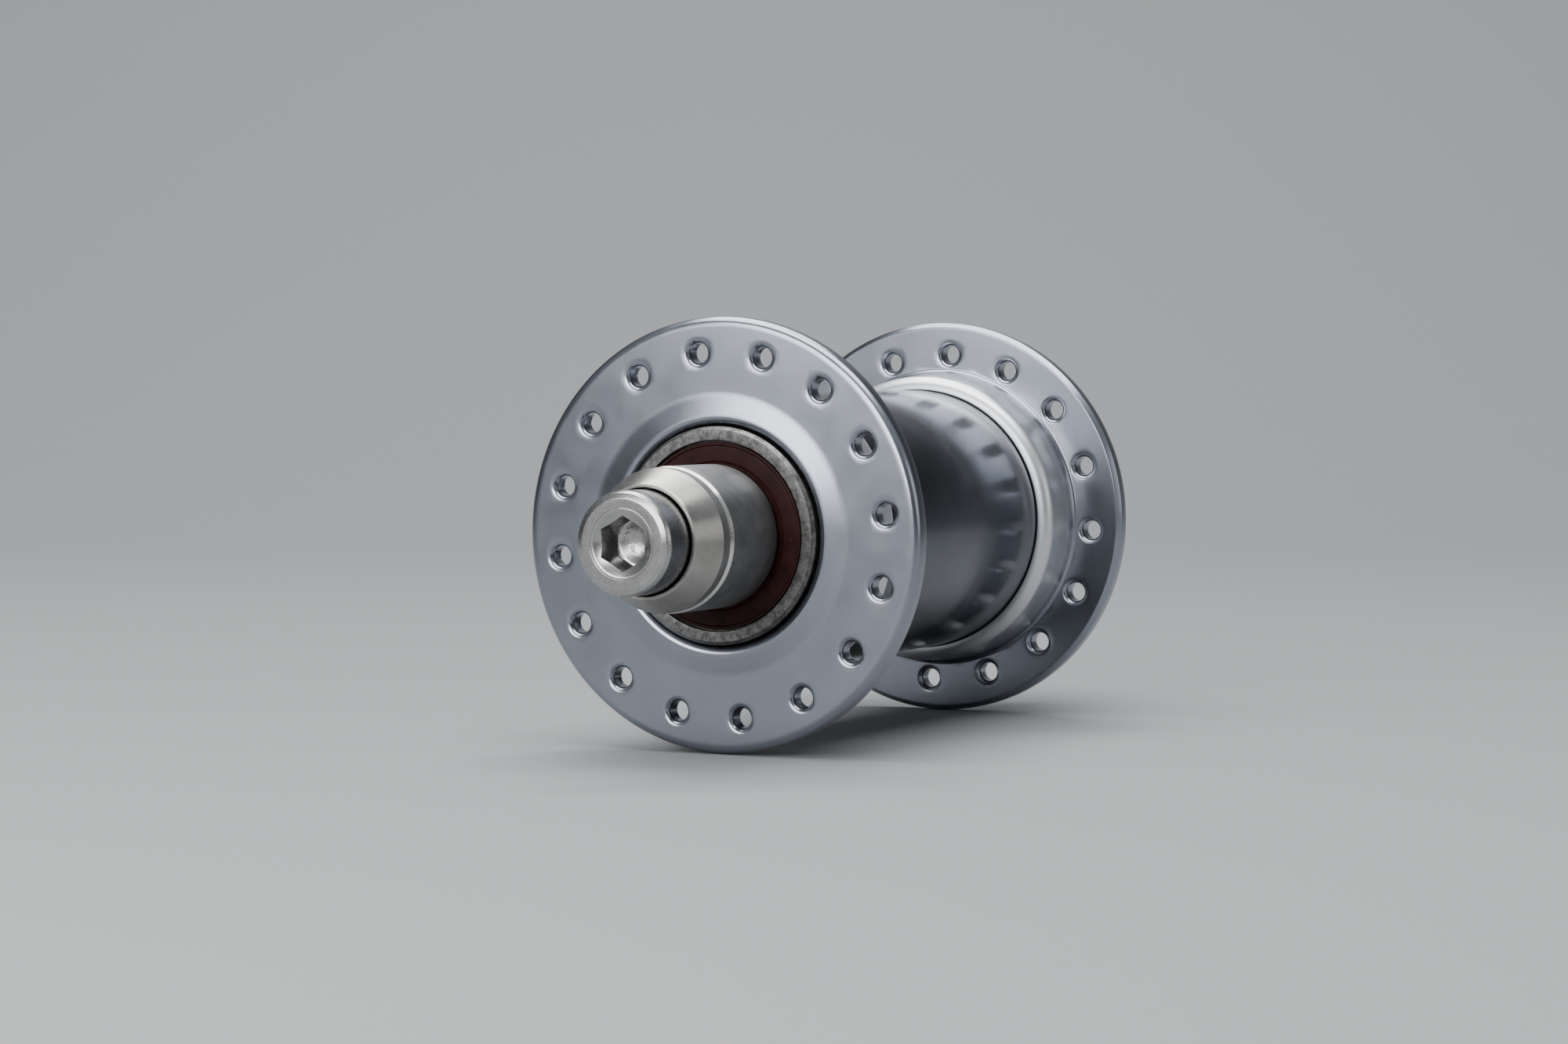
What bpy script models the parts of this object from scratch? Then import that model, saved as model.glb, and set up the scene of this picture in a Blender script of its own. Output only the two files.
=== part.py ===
"""Bicycle front hub: three-piece shell on two sealed cartridge bearings, with a bolt-on axle.

The axle lies along Y and the middle of the hub is the origin. The parts of each end are drawn standing on
their own +Z axis, with heights measured outward from the middle of the hub. They are then turned to face
-Y (the left end) or +Y (the right end). Sizes in the outlines are millimetres, as (radius, height).
"""

import math

import bmesh
import bpy

MM = 0.001
MERGE = 0.00005

# Clearances that keep touching pieces apart.
FACE_GAP = 0.3
FIT_GAP = 0.15

# Shell: two flanges pressed on a straight barrel.
FLANGE_RADIUS = 28.0
FLANGE_FACE = 36.1
FLANGE_THICKNESS = 3.0
RIM_ROUNDING = 1.1
BACK_BEVEL = 0.6
BOSS_CREST_RADIUS = 15.3
BOSS_FOOT_RADIUS = 17.4
BOSS_FACE = 37.0
BORE_MOUTH_ROUNDING = 0.8
COLLAR_ROOT_RADIUS = 20.8
COLLAR_SHOULDER_RADIUS = 20.3
COLLAR_SHOULDER_ROUNDING = 1.7
COLLAR_END = 25.5
ROOT_FILLET_WIDTH = 0.4
ROOT_FILLET_HEIGHT = 1.0
BARREL_RADIUS = 18.3
BARREL_BORE = 16.4
BARREL_END = 31.0
SPIGOT_RADIUS = 16.1
SPIGOT_END = 26.0
SPIGOT_LIP_BORE = 12.4

# Spoke holes: the right flange's holes lie half a pitch from the left flange's.
SPOKE_HOLES = 16
SPOKE_CIRCLE_RADIUS = 23.5
SPOKE_HOLE_RADIUS = 1.3
SPOKE_HOLE_PHASE = 7.6
SPOKE_HOLE_SIDES = 10
SPOKE_HOLE_CUT_MARGIN = 2.0

# Cartridge bearing, 12 x 28 x 8.
BEARING_BORE_RADIUS = 6.0
BEARING_BORE_GAP = 0.05
BEARING_OUTER_RADIUS = 14.0
BEARING_WIDTH = 8.0
BEARING_FACE = 37.1
BEARING_MIDDLE = BEARING_FACE - BEARING_WIDTH / 2
BEARING_BACK = BEARING_FACE - BEARING_WIDTH
RING_CHAMFER = 0.3
BALLS = 8
BALL_RADIUS = 4.762 / 2
BALL_CIRCLE_RADIUS = 10.0
RACE_RADIUS = BALL_RADIUS + FACE_GAP
OUTER_RING_LAND = 11.8
INNER_RING_LAND = 8.3
SEAL_SEAT_RADIUS = 12.15
SEAL_SEAT_DEPTH = 1.0
SEAL_INNER_RADIUS = 8.6
SEAL_OUTER_RADIUS = 12.0
SEAL_RECESS = 0.2
SEAL_THICKNESS = 0.65
CAGE_INNER_RADIUS = 9.0
CAGE_OUTER_RADIUS = 11.1
CAGE_HALF_WIDTH = 2.9
CAGE_POCKET_RADIUS = BALL_RADIUS + 0.12
CAGE_POCKET_SIDES = 12
CAGE_CUT_START = 6.0
CAGE_CUT_LENGTH = 8.0

# Axle, its spacers and its bolts. The fork ends clamp 100 mm apart.
FORK_FACE = 50.0
AXLE_RADIUS = 5.9
AXLE_END = 49.5
AXLE_CHAMFER = 0.4
THREAD_RADIUS = 4.0
THREAD_BORE = THREAD_RADIUS + FIT_GAP
THREAD_DEPTH_END = 26.0
AXLE_CORE_BORE = 3.4
SPACER_TUBE_RADIUS = 7.6
END_SPACER_RADIUS = 9.2
END_SPACER_SHOULDER_RADIUS = 8.0
END_SPACER_CHAMFER = 0.4
END_SPACER_RELIEF = 0.25

# Conical washer that the bolt head presses on the fork end.
WASHER_RADIUS = 9.05
WASHER_LAND_END = 52.1
WASHER_FRONT = 56.1
WASHER_FRONT_RADIUS = 7.2
WASHER_FRONT_CHAMFER = 0.2
WASHER_BORE = 4.3
COUNTERBORE_RADIUS = 6.75
COUNTERBORE_FLOOR = 53.45

# M8 x 25 socket head bolt.
BOLT_HEAD_RADIUS = 6.5
BOLT_HEAD_HEIGHT = 8.0
BOLT_HEAD_BACK = 53.75
BOLT_LENGTH = 25.0
HEX_ACROSS_FLATS = 6.0
HEX_DEPTH = 4.6
HEX_CONE_DEPTH = 1.0
HEX_CONE_TIP_RADIUS = 0.4
HEX_CONE_INSET = 0.2
HEX_CUT_MARGIN = 1.0
CONE_CUT_MARGIN = 0.1
DRILL_SIDES = 18
BOLT_EDGE_ROUNDING = 0.6
BOLT_TIP_CHAMFER = 0.8

BIG_STEPS = 48
SMALL_STEPS = 32
BEARING_STEPS = 28
SHARP_ANGLE = math.radians(30)

SIDES = {"left": 1, "right": -1}

MATERIALS = {
    "satin_alloy": ((0.20, 0.22, 0.26), 0.38, 1.0),
    "polished_barrel": ((0.30, 0.32, 0.35), 0.10, 1.0),
    "dark_steel": ((0.16, 0.16, 0.17), 0.35, 1.0),
    "stainless": ((0.60, 0.58, 0.55), 0.25, 1.0),
    "bearing_steel": ((0.45, 0.45, 0.44), 0.40, 1.0),
    "bright_ball": ((0.75, 0.75, 0.76), 0.05, 1.0),
    "brown_rubber": ((0.035, 0.012, 0.012), 0.50, 0.0),
    "cage_nylon": ((0.55, 0.50, 0.40), 0.50, 0.0),
}


def clear_scene():
    for obj in list(bpy.data.objects):
        bpy.data.objects.remove(obj)


def new_collection(name):
    collection = bpy.data.collections.new(name)
    bpy.context.scene.collection.children.link(collection)
    return collection


def make_material(name):
    colour, roughness, metallic = MATERIALS[name]
    material = bpy.data.materials.new(name)
    material.use_nodes = True
    shader = material.node_tree.nodes["Principled BSDF"]
    shader.inputs["Base Color"].default_value = (*colour, 1.0)
    shader.inputs["Roughness"].default_value = roughness
    shader.inputs["Metallic"].default_value = metallic
    return material


def arc(centre, radius, start, end, count):
    """Points on an arc in the outline's plane, with the angles in degrees."""
    points = []
    for index in range(count):
        angle = math.radians(start + (end - start) * index / (count - 1))
        points.append((centre[0] + radius * math.cos(angle), centre[1] + radius * math.sin(angle)))
    return points


def turned(name, outline, steps, bored=True):
    """Turns an outline that runs down its outer side; a bored outline closes on itself."""
    bm = bmesh.new()
    points = [bm.verts.new((radius * MM, 0.0, height * MM)) for radius, height in outline]
    for first, second in zip(points, points[1:]):
        bm.edges.new((first, second))
    if bored:
        bm.edges.new((points[-1], points[0]))
    mesh = bpy.data.meshes.new(name)
    bm.to_mesh(mesh)
    bm.free()
    obj = bpy.data.objects.new(name, mesh)
    bpy.context.scene.collection.objects.link(obj)
    screw = obj.modifiers.new("turn", "SCREW")
    screw.steps = steps
    screw.render_steps = steps
    screw.use_merge_vertices = True
    screw.merge_threshold = MERGE
    return obj


def cone_cutter(name, sides, low_radius, high_radius, height):
    """A prism or cone of the given height, standing on the origin along +Z."""
    bm = bmesh.new()
    bmesh.ops.create_cone(
        bm,
        cap_ends=True,
        segments=sides,
        radius1=low_radius * MM,
        radius2=high_radius * MM,
        depth=height * MM,
    )
    bmesh.ops.translate(bm, verts=bm.verts, vec=(0.0, 0.0, height * MM / 2))
    mesh = bpy.data.meshes.new(name)
    bm.to_mesh(mesh)
    bm.free()
    obj = bpy.data.objects.new(name, mesh)
    cutters.objects.link(obj)
    obj.hide_render = True
    obj.display_type = "WIRE"
    return obj


def cut(obj, cutter):
    boolean = obj.modifiers.new("cut", "BOOLEAN")
    boolean.operation = "DIFFERENCE"
    boolean.solver = "EXACT"
    boolean.object = cutter


def settle(obj):
    """Turns the modifiers' result into the object's own mesh, smooth except at its real edges."""
    bpy.context.view_layer.update()
    graph = bpy.context.evaluated_depsgraph_get()
    mesh = bpy.data.meshes.new_from_object(obj.evaluated_get(graph))
    mesh.name = obj.name
    mesh.shade_smooth()
    mesh.set_sharp_from_angle(angle=SHARP_ANGLE)
    obj.modifiers.clear()
    obj.data = mesh


def finish(obj, material_name, parent, rotation=0.0):
    """Settles a part, gives it its material, and hangs it on its body's empty."""
    settle(obj)
    obj.data.materials.clear()
    obj.data.materials.append(materials[material_name])
    bpy.context.scene.collection.objects.unlink(obj)
    parts.objects.link(obj)
    obj.rotation_euler = (rotation, 0.0, 0.0)
    obj.parent = parent


def body_empty(name):
    empty = bpy.data.objects.new(name, None)
    empty.empty_display_size = 10 * MM
    parts.objects.link(empty)
    return empty


def facing(side):
    """Turn about X that points a part's own +Z outward: to -Y on the left, to +Y on the right."""
    return math.radians(90) * SIDES[side]


def flange_outline():
    rim_corner = (FLANGE_RADIUS - RIM_ROUNDING, FLANGE_FACE - RIM_ROUNDING)
    back_face = FLANGE_FACE - FLANGE_THICKNESS
    bore = BEARING_OUTER_RADIUS + FIT_GAP
    rounding = COLLAR_SHOULDER_ROUNDING
    shoulder_centre = (COLLAR_SHOULDER_RADIUS - rounding, COLLAR_END + rounding)
    return [
        (bore, BOSS_FACE - BORE_MOUTH_ROUNDING),
        (bore + BORE_MOUTH_ROUNDING / 2, BOSS_FACE - BORE_MOUTH_ROUNDING / 4),
        (BOSS_CREST_RADIUS, BOSS_FACE),
        (BOSS_FOOT_RADIUS, FLANGE_FACE),
        *arc(rim_corner, RIM_ROUNDING, 90, 0, 3),
        (FLANGE_RADIUS, back_face + BACK_BEVEL),
        (FLANGE_RADIUS - BACK_BEVEL, back_face),
        (COLLAR_ROOT_RADIUS + ROOT_FILLET_WIDTH, back_face),
        (COLLAR_ROOT_RADIUS, back_face - ROOT_FILLET_HEIGHT),
        *arc(shoulder_centre, rounding, 0, -90, 4),
        (BARREL_RADIUS + FIT_GAP, COLLAR_END),
        (BARREL_RADIUS + FIT_GAP, BARREL_END + FACE_GAP),
        (SPIGOT_RADIUS, BARREL_END + FACE_GAP),
        (SPIGOT_RADIUS, SPIGOT_END),
        (SPIGOT_LIP_BORE, SPIGOT_END),
        (SPIGOT_LIP_BORE, BEARING_BACK - FACE_GAP),
        (bore, BEARING_BACK - FACE_GAP),
    ]


def make_flange(side, parent):
    flange = turned(f"{side}_flange", flange_outline(), BIG_STEPS)
    pitch = 360 / SPOKE_HOLES
    phase = SPOKE_HOLE_PHASE if side == "left" else SPOKE_HOLE_PHASE - pitch / 2
    for index in range(SPOKE_HOLES):
        angle = math.radians(phase + pitch * index) * SIDES[side]
        cutter = cone_cutter(
            f"{side}_spoke_hole_{index + 1}",
            SPOKE_HOLE_SIDES,
            SPOKE_HOLE_RADIUS,
            SPOKE_HOLE_RADIUS,
            FLANGE_THICKNESS + 2 * SPOKE_HOLE_CUT_MARGIN,
        )
        cutter.location = (
            SPOKE_CIRCLE_RADIUS * math.cos(angle) * MM,
            SPOKE_CIRCLE_RADIUS * math.sin(angle) * MM,
            (FLANGE_FACE - FLANGE_THICKNESS - SPOKE_HOLE_CUT_MARGIN) * MM,
        )
        cut(flange, cutter)
    finish(flange, "satin_alloy", parent, facing(side))


def make_barrel(parent):
    outline = [
        (BARREL_BORE, BARREL_END),
        (BARREL_RADIUS, BARREL_END),
        (BARREL_RADIUS, -BARREL_END),
        (BARREL_BORE, -BARREL_END),
    ]
    finish(turned("hub_barrel", outline, BIG_STEPS), "polished_barrel", parent, facing("left"))


def race_arc(land_radius, outward):
    """The ball groove of a ring, as an arc between two points on the ring's land."""
    reach = abs(land_radius - BALL_CIRCLE_RADIUS)
    half_angle = math.degrees(math.acos(reach / RACE_RADIUS))
    centre = (BALL_CIRCLE_RADIUS, BEARING_MIDDLE)
    if outward:
        return arc(centre, RACE_RADIUS, -half_angle, half_angle, 5)
    return arc(centre, RACE_RADIUS, 180 - half_angle, 180 + half_angle, 5)


def make_outer_ring(side, parent):
    outline = [
        (SEAL_SEAT_RADIUS, BEARING_FACE),
        (BEARING_OUTER_RADIUS - RING_CHAMFER, BEARING_FACE),
        (BEARING_OUTER_RADIUS, BEARING_FACE - RING_CHAMFER),
        (BEARING_OUTER_RADIUS, BEARING_BACK + RING_CHAMFER),
        (BEARING_OUTER_RADIUS - RING_CHAMFER, BEARING_BACK),
        (SEAL_SEAT_RADIUS, BEARING_BACK),
        (SEAL_SEAT_RADIUS, BEARING_BACK + SEAL_SEAT_DEPTH),
        (OUTER_RING_LAND, BEARING_BACK + SEAL_SEAT_DEPTH),
        *race_arc(OUTER_RING_LAND, outward=True),
        (OUTER_RING_LAND, BEARING_FACE - SEAL_SEAT_DEPTH),
        (SEAL_SEAT_RADIUS, BEARING_FACE - SEAL_SEAT_DEPTH),
    ]
    ring = turned(f"{side}_bearing_outer_ring", outline, BEARING_STEPS)
    finish(ring, "bearing_steel", parent, facing(side))


def make_inner_ring(side, parent):
    bore = BEARING_BORE_RADIUS + BEARING_BORE_GAP
    outline = [
        (bore + RING_CHAMFER, BEARING_FACE),
        (INNER_RING_LAND, BEARING_FACE),
        *race_arc(INNER_RING_LAND, outward=False),
        (INNER_RING_LAND, BEARING_BACK),
        (bore + RING_CHAMFER, BEARING_BACK),
        (bore, BEARING_BACK + RING_CHAMFER),
        (bore, BEARING_FACE - RING_CHAMFER),
    ]
    ring = turned(f"{side}_bearing_inner_ring", outline, BEARING_STEPS)
    finish(ring, "bearing_steel", parent, facing(side))


def make_seal(name, side, low, parent):
    outline = [
        (SEAL_INNER_RADIUS, low + SEAL_THICKNESS),
        (SEAL_OUTER_RADIUS, low + SEAL_THICKNESS),
        (SEAL_OUTER_RADIUS, low),
        (SEAL_INNER_RADIUS, low),
    ]
    finish(turned(name, outline, BEARING_STEPS), "brown_rubber", parent, facing(side))


def make_cage(side, parent):
    outline = [
        (CAGE_INNER_RADIUS, BEARING_MIDDLE + CAGE_HALF_WIDTH),
        (CAGE_OUTER_RADIUS, BEARING_MIDDLE + CAGE_HALF_WIDTH),
        (CAGE_OUTER_RADIUS, BEARING_MIDDLE - CAGE_HALF_WIDTH),
        (CAGE_INNER_RADIUS, BEARING_MIDDLE - CAGE_HALF_WIDTH),
    ]
    cage = turned(f"{side}_bearing_cage", outline, BEARING_STEPS)
    for index in range(BALLS):
        angle = 2 * math.pi * index / BALLS
        cutter = cone_cutter(
            f"{side}_cage_pocket_{index + 1}",
            CAGE_POCKET_SIDES,
            CAGE_POCKET_RADIUS,
            CAGE_POCKET_RADIUS,
            CAGE_CUT_LENGTH,
        )
        cutter.location = (
            CAGE_CUT_START * math.cos(angle) * MM,
            CAGE_CUT_START * math.sin(angle) * MM,
            BEARING_MIDDLE * MM,
        )
        cutter.rotation_euler = (0.0, math.radians(90), angle)
        cut(cage, cutter)
    finish(cage, "cage_nylon", parent, facing(side))


def make_balls(side, parent):
    for index in range(BALLS):
        angle = 2 * math.pi * index / BALLS
        bm = bmesh.new()
        bmesh.ops.create_uvsphere(bm, u_segments=12, v_segments=6, radius=BALL_RADIUS * MM)
        centre = (
            BALL_CIRCLE_RADIUS * math.cos(angle) * MM,
            BALL_CIRCLE_RADIUS * math.sin(angle) * MM,
            BEARING_MIDDLE * MM,
        )
        bmesh.ops.translate(bm, verts=bm.verts, vec=centre)
        mesh = bpy.data.meshes.new("ball")
        bm.to_mesh(mesh)
        bm.free()
        ball = bpy.data.objects.new(f"{side}_bearing_ball_{index + 1}", mesh)
        bpy.context.scene.collection.objects.link(ball)
        finish(ball, "bright_ball", parent, facing(side))


def make_axle(parent):
    outline = [
        (THREAD_BORE, AXLE_END),
        (AXLE_RADIUS - AXLE_CHAMFER, AXLE_END),
        (AXLE_RADIUS, AXLE_END - AXLE_CHAMFER),
        (AXLE_RADIUS, -AXLE_END + AXLE_CHAMFER),
        (AXLE_RADIUS - AXLE_CHAMFER, -AXLE_END),
        (THREAD_BORE, -AXLE_END),
        (THREAD_BORE, -THREAD_DEPTH_END),
        (AXLE_CORE_BORE, -THREAD_DEPTH_END),
        (AXLE_CORE_BORE, THREAD_DEPTH_END),
        (THREAD_BORE, THREAD_DEPTH_END),
    ]
    finish(turned("axle", outline, SMALL_STEPS), "dark_steel", parent, facing("left"))


def make_spacer_tube(parent):
    half_length = BEARING_BACK - FACE_GAP
    outline = [
        (AXLE_RADIUS + FACE_GAP, half_length),
        (SPACER_TUBE_RADIUS, half_length),
        (SPACER_TUBE_RADIUS, -half_length),
        (AXLE_RADIUS + FACE_GAP, -half_length),
    ]
    finish(turned("bearing_spacer_tube", outline, SMALL_STEPS), "dark_steel", parent, facing("left"))


def make_end_spacer(side, parent):
    bore = AXLE_RADIUS + FIT_GAP
    bottom = BEARING_FACE + FACE_GAP
    outline = [
        (bore, FORK_FACE),
        (END_SPACER_RADIUS - END_SPACER_CHAMFER, FORK_FACE),
        (END_SPACER_RADIUS, FORK_FACE - END_SPACER_CHAMFER),
        (END_SPACER_RADIUS, bottom + 2 * END_SPACER_RELIEF),
        (END_SPACER_RADIUS - END_SPACER_RELIEF, bottom + END_SPACER_RELIEF),
        (END_SPACER_SHOULDER_RADIUS, bottom + END_SPACER_RELIEF),
        (END_SPACER_SHOULDER_RADIUS, bottom),
        (bore, bottom),
    ]
    spacer = turned(f"{side}_end_spacer", outline, SMALL_STEPS)
    finish(spacer, "dark_steel", parent, facing(side))


def make_fork_washer(side, parent):
    bottom = FORK_FACE + FACE_GAP
    outline = [
        (COUNTERBORE_RADIUS, WASHER_FRONT),
        (WASHER_FRONT_RADIUS - WASHER_FRONT_CHAMFER, WASHER_FRONT),
        (WASHER_FRONT_RADIUS, WASHER_FRONT - WASHER_FRONT_CHAMFER),
        (WASHER_RADIUS, WASHER_LAND_END),
        (WASHER_RADIUS, bottom),
        (WASHER_BORE, bottom),
        (WASHER_BORE, COUNTERBORE_FLOOR),
        (COUNTERBORE_RADIUS, COUNTERBORE_FLOOR),
    ]
    washer = turned(f"{side}_fork_washer", outline, SMALL_STEPS)
    finish(washer, "stainless", parent, facing(side))


def make_bolt(side, parent):
    head_top = BOLT_HEAD_BACK + BOLT_HEAD_HEIGHT
    tip = BOLT_HEAD_BACK - BOLT_LENGTH
    edge_centre = (BOLT_HEAD_RADIUS - BOLT_EDGE_ROUNDING, head_top - BOLT_EDGE_ROUNDING)
    outline = [
        (0.0, head_top),
        *arc(edge_centre, BOLT_EDGE_ROUNDING, 90, 0, 3),
        (BOLT_HEAD_RADIUS, BOLT_HEAD_BACK),
        (THREAD_RADIUS, BOLT_HEAD_BACK),
        (THREAD_RADIUS, tip + BOLT_TIP_CHAMFER),
        (THREAD_RADIUS - BOLT_TIP_CHAMFER, tip),
        (0.0, tip),
    ]
    bolt = turned(f"{side}_axle_bolt", outline, SMALL_STEPS, bored=False)
    corner_radius = HEX_ACROSS_FLATS / 2 / math.cos(math.radians(30))
    socket = cone_cutter(f"{side}_hex_socket", 6, corner_radius, corner_radius, HEX_DEPTH + HEX_CUT_MARGIN)
    socket.location = (0.0, 0.0, (head_top - HEX_DEPTH) * MM)
    cut(bolt, socket)
    drill_radius = HEX_ACROSS_FLATS / 2 - HEX_CONE_INSET
    drill_depth = HEX_CONE_DEPTH + CONE_CUT_MARGIN
    drill = cone_cutter(f"{side}_socket_drill", DRILL_SIDES, HEX_CONE_TIP_RADIUS, drill_radius, drill_depth)
    drill.location = (0.0, 0.0, (head_top - HEX_DEPTH - HEX_CONE_DEPTH) * MM)
    cut(bolt, drill)
    finish(bolt, "stainless", parent, facing(side))


clear_scene()
parts = new_collection("front_hub")
cutters = new_collection("cutters")
materials = {name: make_material(name) for name in MATERIALS}

axle_body = body_empty("axle_body")
shell_body = body_empty("shell_body")
make_axle(axle_body)
make_spacer_tube(axle_body)
make_barrel(shell_body)
for end in SIDES:
    make_flange(end, shell_body)
    make_outer_ring(end, shell_body)
    outer_seal_low = BEARING_FACE - SEAL_RECESS - SEAL_THICKNESS
    make_seal(f"{end}_bearing_outer_seal", end, outer_seal_low, shell_body)
    make_seal(f"{end}_bearing_inner_seal", end, BEARING_BACK + SEAL_RECESS, shell_body)
    make_inner_ring(end, axle_body)
    make_end_spacer(end, axle_body)
    cage_body = body_empty(f"{end}_cage_body")
    make_cage(end, cage_body)
    make_balls(end, cage_body)
    make_fork_washer(end, body_empty(f"{end}_washer_body"))
    make_bolt(end, body_empty(f"{end}_bolt_body"))
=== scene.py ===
"""Finished look of the bicycle front hub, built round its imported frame.

Every piece is drawn in millimetres with its own +Z pointing outward along the axle, and is then turned to
the left end (facing -Y) or the right end (facing +Y) of the hub. Pieces that are the same at both ends are
made once for each end. Profiles are lists of (radius, height, rounding), with height measured from the hub's
middle.
"""

import math

import bmesh
import bpy
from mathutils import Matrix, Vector


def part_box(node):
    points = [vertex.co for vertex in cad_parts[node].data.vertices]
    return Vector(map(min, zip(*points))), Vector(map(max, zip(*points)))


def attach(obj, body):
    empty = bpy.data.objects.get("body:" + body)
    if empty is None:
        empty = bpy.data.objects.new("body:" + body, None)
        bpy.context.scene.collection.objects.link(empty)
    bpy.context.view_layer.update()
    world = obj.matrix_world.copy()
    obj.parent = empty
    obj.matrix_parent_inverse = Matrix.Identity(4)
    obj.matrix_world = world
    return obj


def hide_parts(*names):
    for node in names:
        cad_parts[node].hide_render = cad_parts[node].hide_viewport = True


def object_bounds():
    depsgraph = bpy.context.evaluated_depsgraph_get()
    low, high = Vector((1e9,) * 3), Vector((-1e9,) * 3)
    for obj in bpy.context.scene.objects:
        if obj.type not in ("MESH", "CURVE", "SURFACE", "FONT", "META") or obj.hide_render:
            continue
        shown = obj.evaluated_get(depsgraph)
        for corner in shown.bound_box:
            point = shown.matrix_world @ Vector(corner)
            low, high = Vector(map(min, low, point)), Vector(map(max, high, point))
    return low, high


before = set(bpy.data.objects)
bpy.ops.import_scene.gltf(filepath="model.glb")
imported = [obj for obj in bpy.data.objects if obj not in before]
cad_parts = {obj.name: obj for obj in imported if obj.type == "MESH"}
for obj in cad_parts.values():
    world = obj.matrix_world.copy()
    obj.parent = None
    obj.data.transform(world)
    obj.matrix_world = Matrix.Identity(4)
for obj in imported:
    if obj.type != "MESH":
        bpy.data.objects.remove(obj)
cad_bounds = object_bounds()

MM = 0.001
SIDES = {"left": 1, "right": -1}

# How finely the pieces are drawn.
SHARP_ANGLE = math.radians(40)
WELD_DISTANCE = 0.0005
ARC_STEPS = 6
TURNED_STEPS = 192
BOLT_STEPS = 96

# Spoke holes.
SPOKE_HOLES = 16
SPOKE_CIRCLE = 23.5
HOLE_RADIUS = 1.3
HOLE_FLARE = 0.75
HOLE_PHASE = math.radians(7.6)
SECTOR_STEPS = 16
SECTOR_RADIAL_STEPS = 10
PITCH_ANGLE = 2 * math.pi / SPOKE_HOLES
FLANGE_STEPS = SPOKE_HOLES * SECTOR_STEPS
SECTOR_COUNTS = (SECTOR_STEPS, SECTOR_RADIAL_STEPS, SECTOR_STEPS, SECTOR_RADIAL_STEPS)
FLARE_STEPS = 7
FACE_RING_SHARES = (0.55, 0.2, 0.0)

# Flange, where the frame's boxes don't give its shape.
PLATE_THICKNESS = 3.0
CAD_BOSS_HEIGHT = 0.9
BOSS_DROP = 0.45
BOSS_CREST_RADIUS = 15.4
BOSS_FOOT_RADIUS = 18.0
FRONT_HOLES_FROM = 19.8
FRONT_HOLES_TO = 26.6
BACK_HOLES_FROM = 21.4
BACK_HOLES_TO = 27.0
RIM_CHAMFER = 0.6
COLLAR_RADIUS = 20.4
SHOULDER_RADIUS = 20.3
COLLAR_FILLET_HEIGHT = 3.0
FILLET_STEPS = 12
BORE_GAP = 0.12
POCKET_FLOOR_GAP = 0.3
BARREL_END_GAP = 0.3
BARREL_FIT_GAP = 0.04
SPIGOT_RADIUS = 16.1
SPIGOT_END = 26.0
SPIGOT_BORE = 12.4
BARREL_WALL = 1.9

# Camera, placed so that the hub's circles fall where the photo shows them.
LENS_MM = 83.2
SENSOR_MM = 36.0
NEAREST_SEEN = 0.01
CAMERA_AZIMUTH = math.radians(26.455)
CAMERA_ELEVATION = math.radians(2.32)
CAMERA_DISTANCE = 0.4586
CAMERA_AIM = Vector((0.0092, -0.0359, 0.0019))


# ---------------------------------------------------------------- drawing tools


def reach(node):
    """A left-end node's radius, then how far its inner and outer ends stand from the hub's middle, in mm."""
    low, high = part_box(node)
    return high.x / MM, -high.y / MM, -low.y / MM


def rounded(corners, closed=True):
    """Profile points of a run of (radius, height, rounding) corners, with each rounding drawn as an arc."""
    points = []
    count = len(corners)
    for index, (radius, height, rounding) in enumerate(corners):
        here = Vector((radius, height))
        at_end = not closed and index in (0, count - 1)
        if rounding == 0 or at_end:
            points.append(here)
            continue
        to_before = (Vector(corners[index - 1][:2]) - here).normalized()
        to_after = (Vector(corners[(index + 1) % count][:2]) - here).normalized()
        half = to_before.angle(to_after) / 2
        centre = here + (to_before + to_after).normalized() * rounding / math.sin(half)
        start = here + to_before * rounding / math.tan(half) - centre
        end = here + to_after * rounding / math.tan(half) - centre
        sweep = start.angle(end)
        for step in range(ARC_STEPS + 1):
            share = step / ARC_STEPS
            turn = (start * math.sin((1 - share) * sweep) + end * math.sin(share * sweep)) / math.sin(sweep)
            points.append(centre + turn)
    return points


def circle(radius, height, steps):
    """One ring of points; radius and height may be functions of the angle."""
    ring = []
    for step in range(steps):
        angle = 2 * math.pi * step / steps
        r = radius(angle) if callable(radius) else radius
        h = height(angle) if callable(height) else height
        ring.append((r * math.cos(angle), r * math.sin(angle), h))
    return ring


class Shape:
    """Points and faces of one piece while it is being drawn."""

    def __init__(self):
        self.points = []
        self.faces = []

    def ring(self, points):
        start = len(self.points)
        self.points.extend(points)
        return list(range(start, len(self.points)))

    def bridge(self, first, second):
        """Joins two rings, or a ring and a single point."""
        count = max(len(first), len(second))
        for step in range(count):
            after = (step + 1) % count
            if len(first) == 1:
                self.faces.append((first[0], second[step], second[after]))
            elif len(second) == 1:
                self.faces.append((first[step], second[0], first[after]))
            else:
                self.faces.append((first[step], second[step], second[after], first[after]))

    def skin(self, rings, closed=False):
        """Draws a run of rings, each joined to the next."""
        indexed = [self.ring(points) for points in rings]
        for first, second in zip(indexed, indexed[1:]):
            self.bridge(first, second)
        if closed:
            self.bridge(indexed[-1], indexed[0])

    def lathe(self, profile, steps):
        """Turns a closed profile right round the axle."""
        self.skin([circle(point[0], point[1], steps) for point in profile], closed=True)


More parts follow.
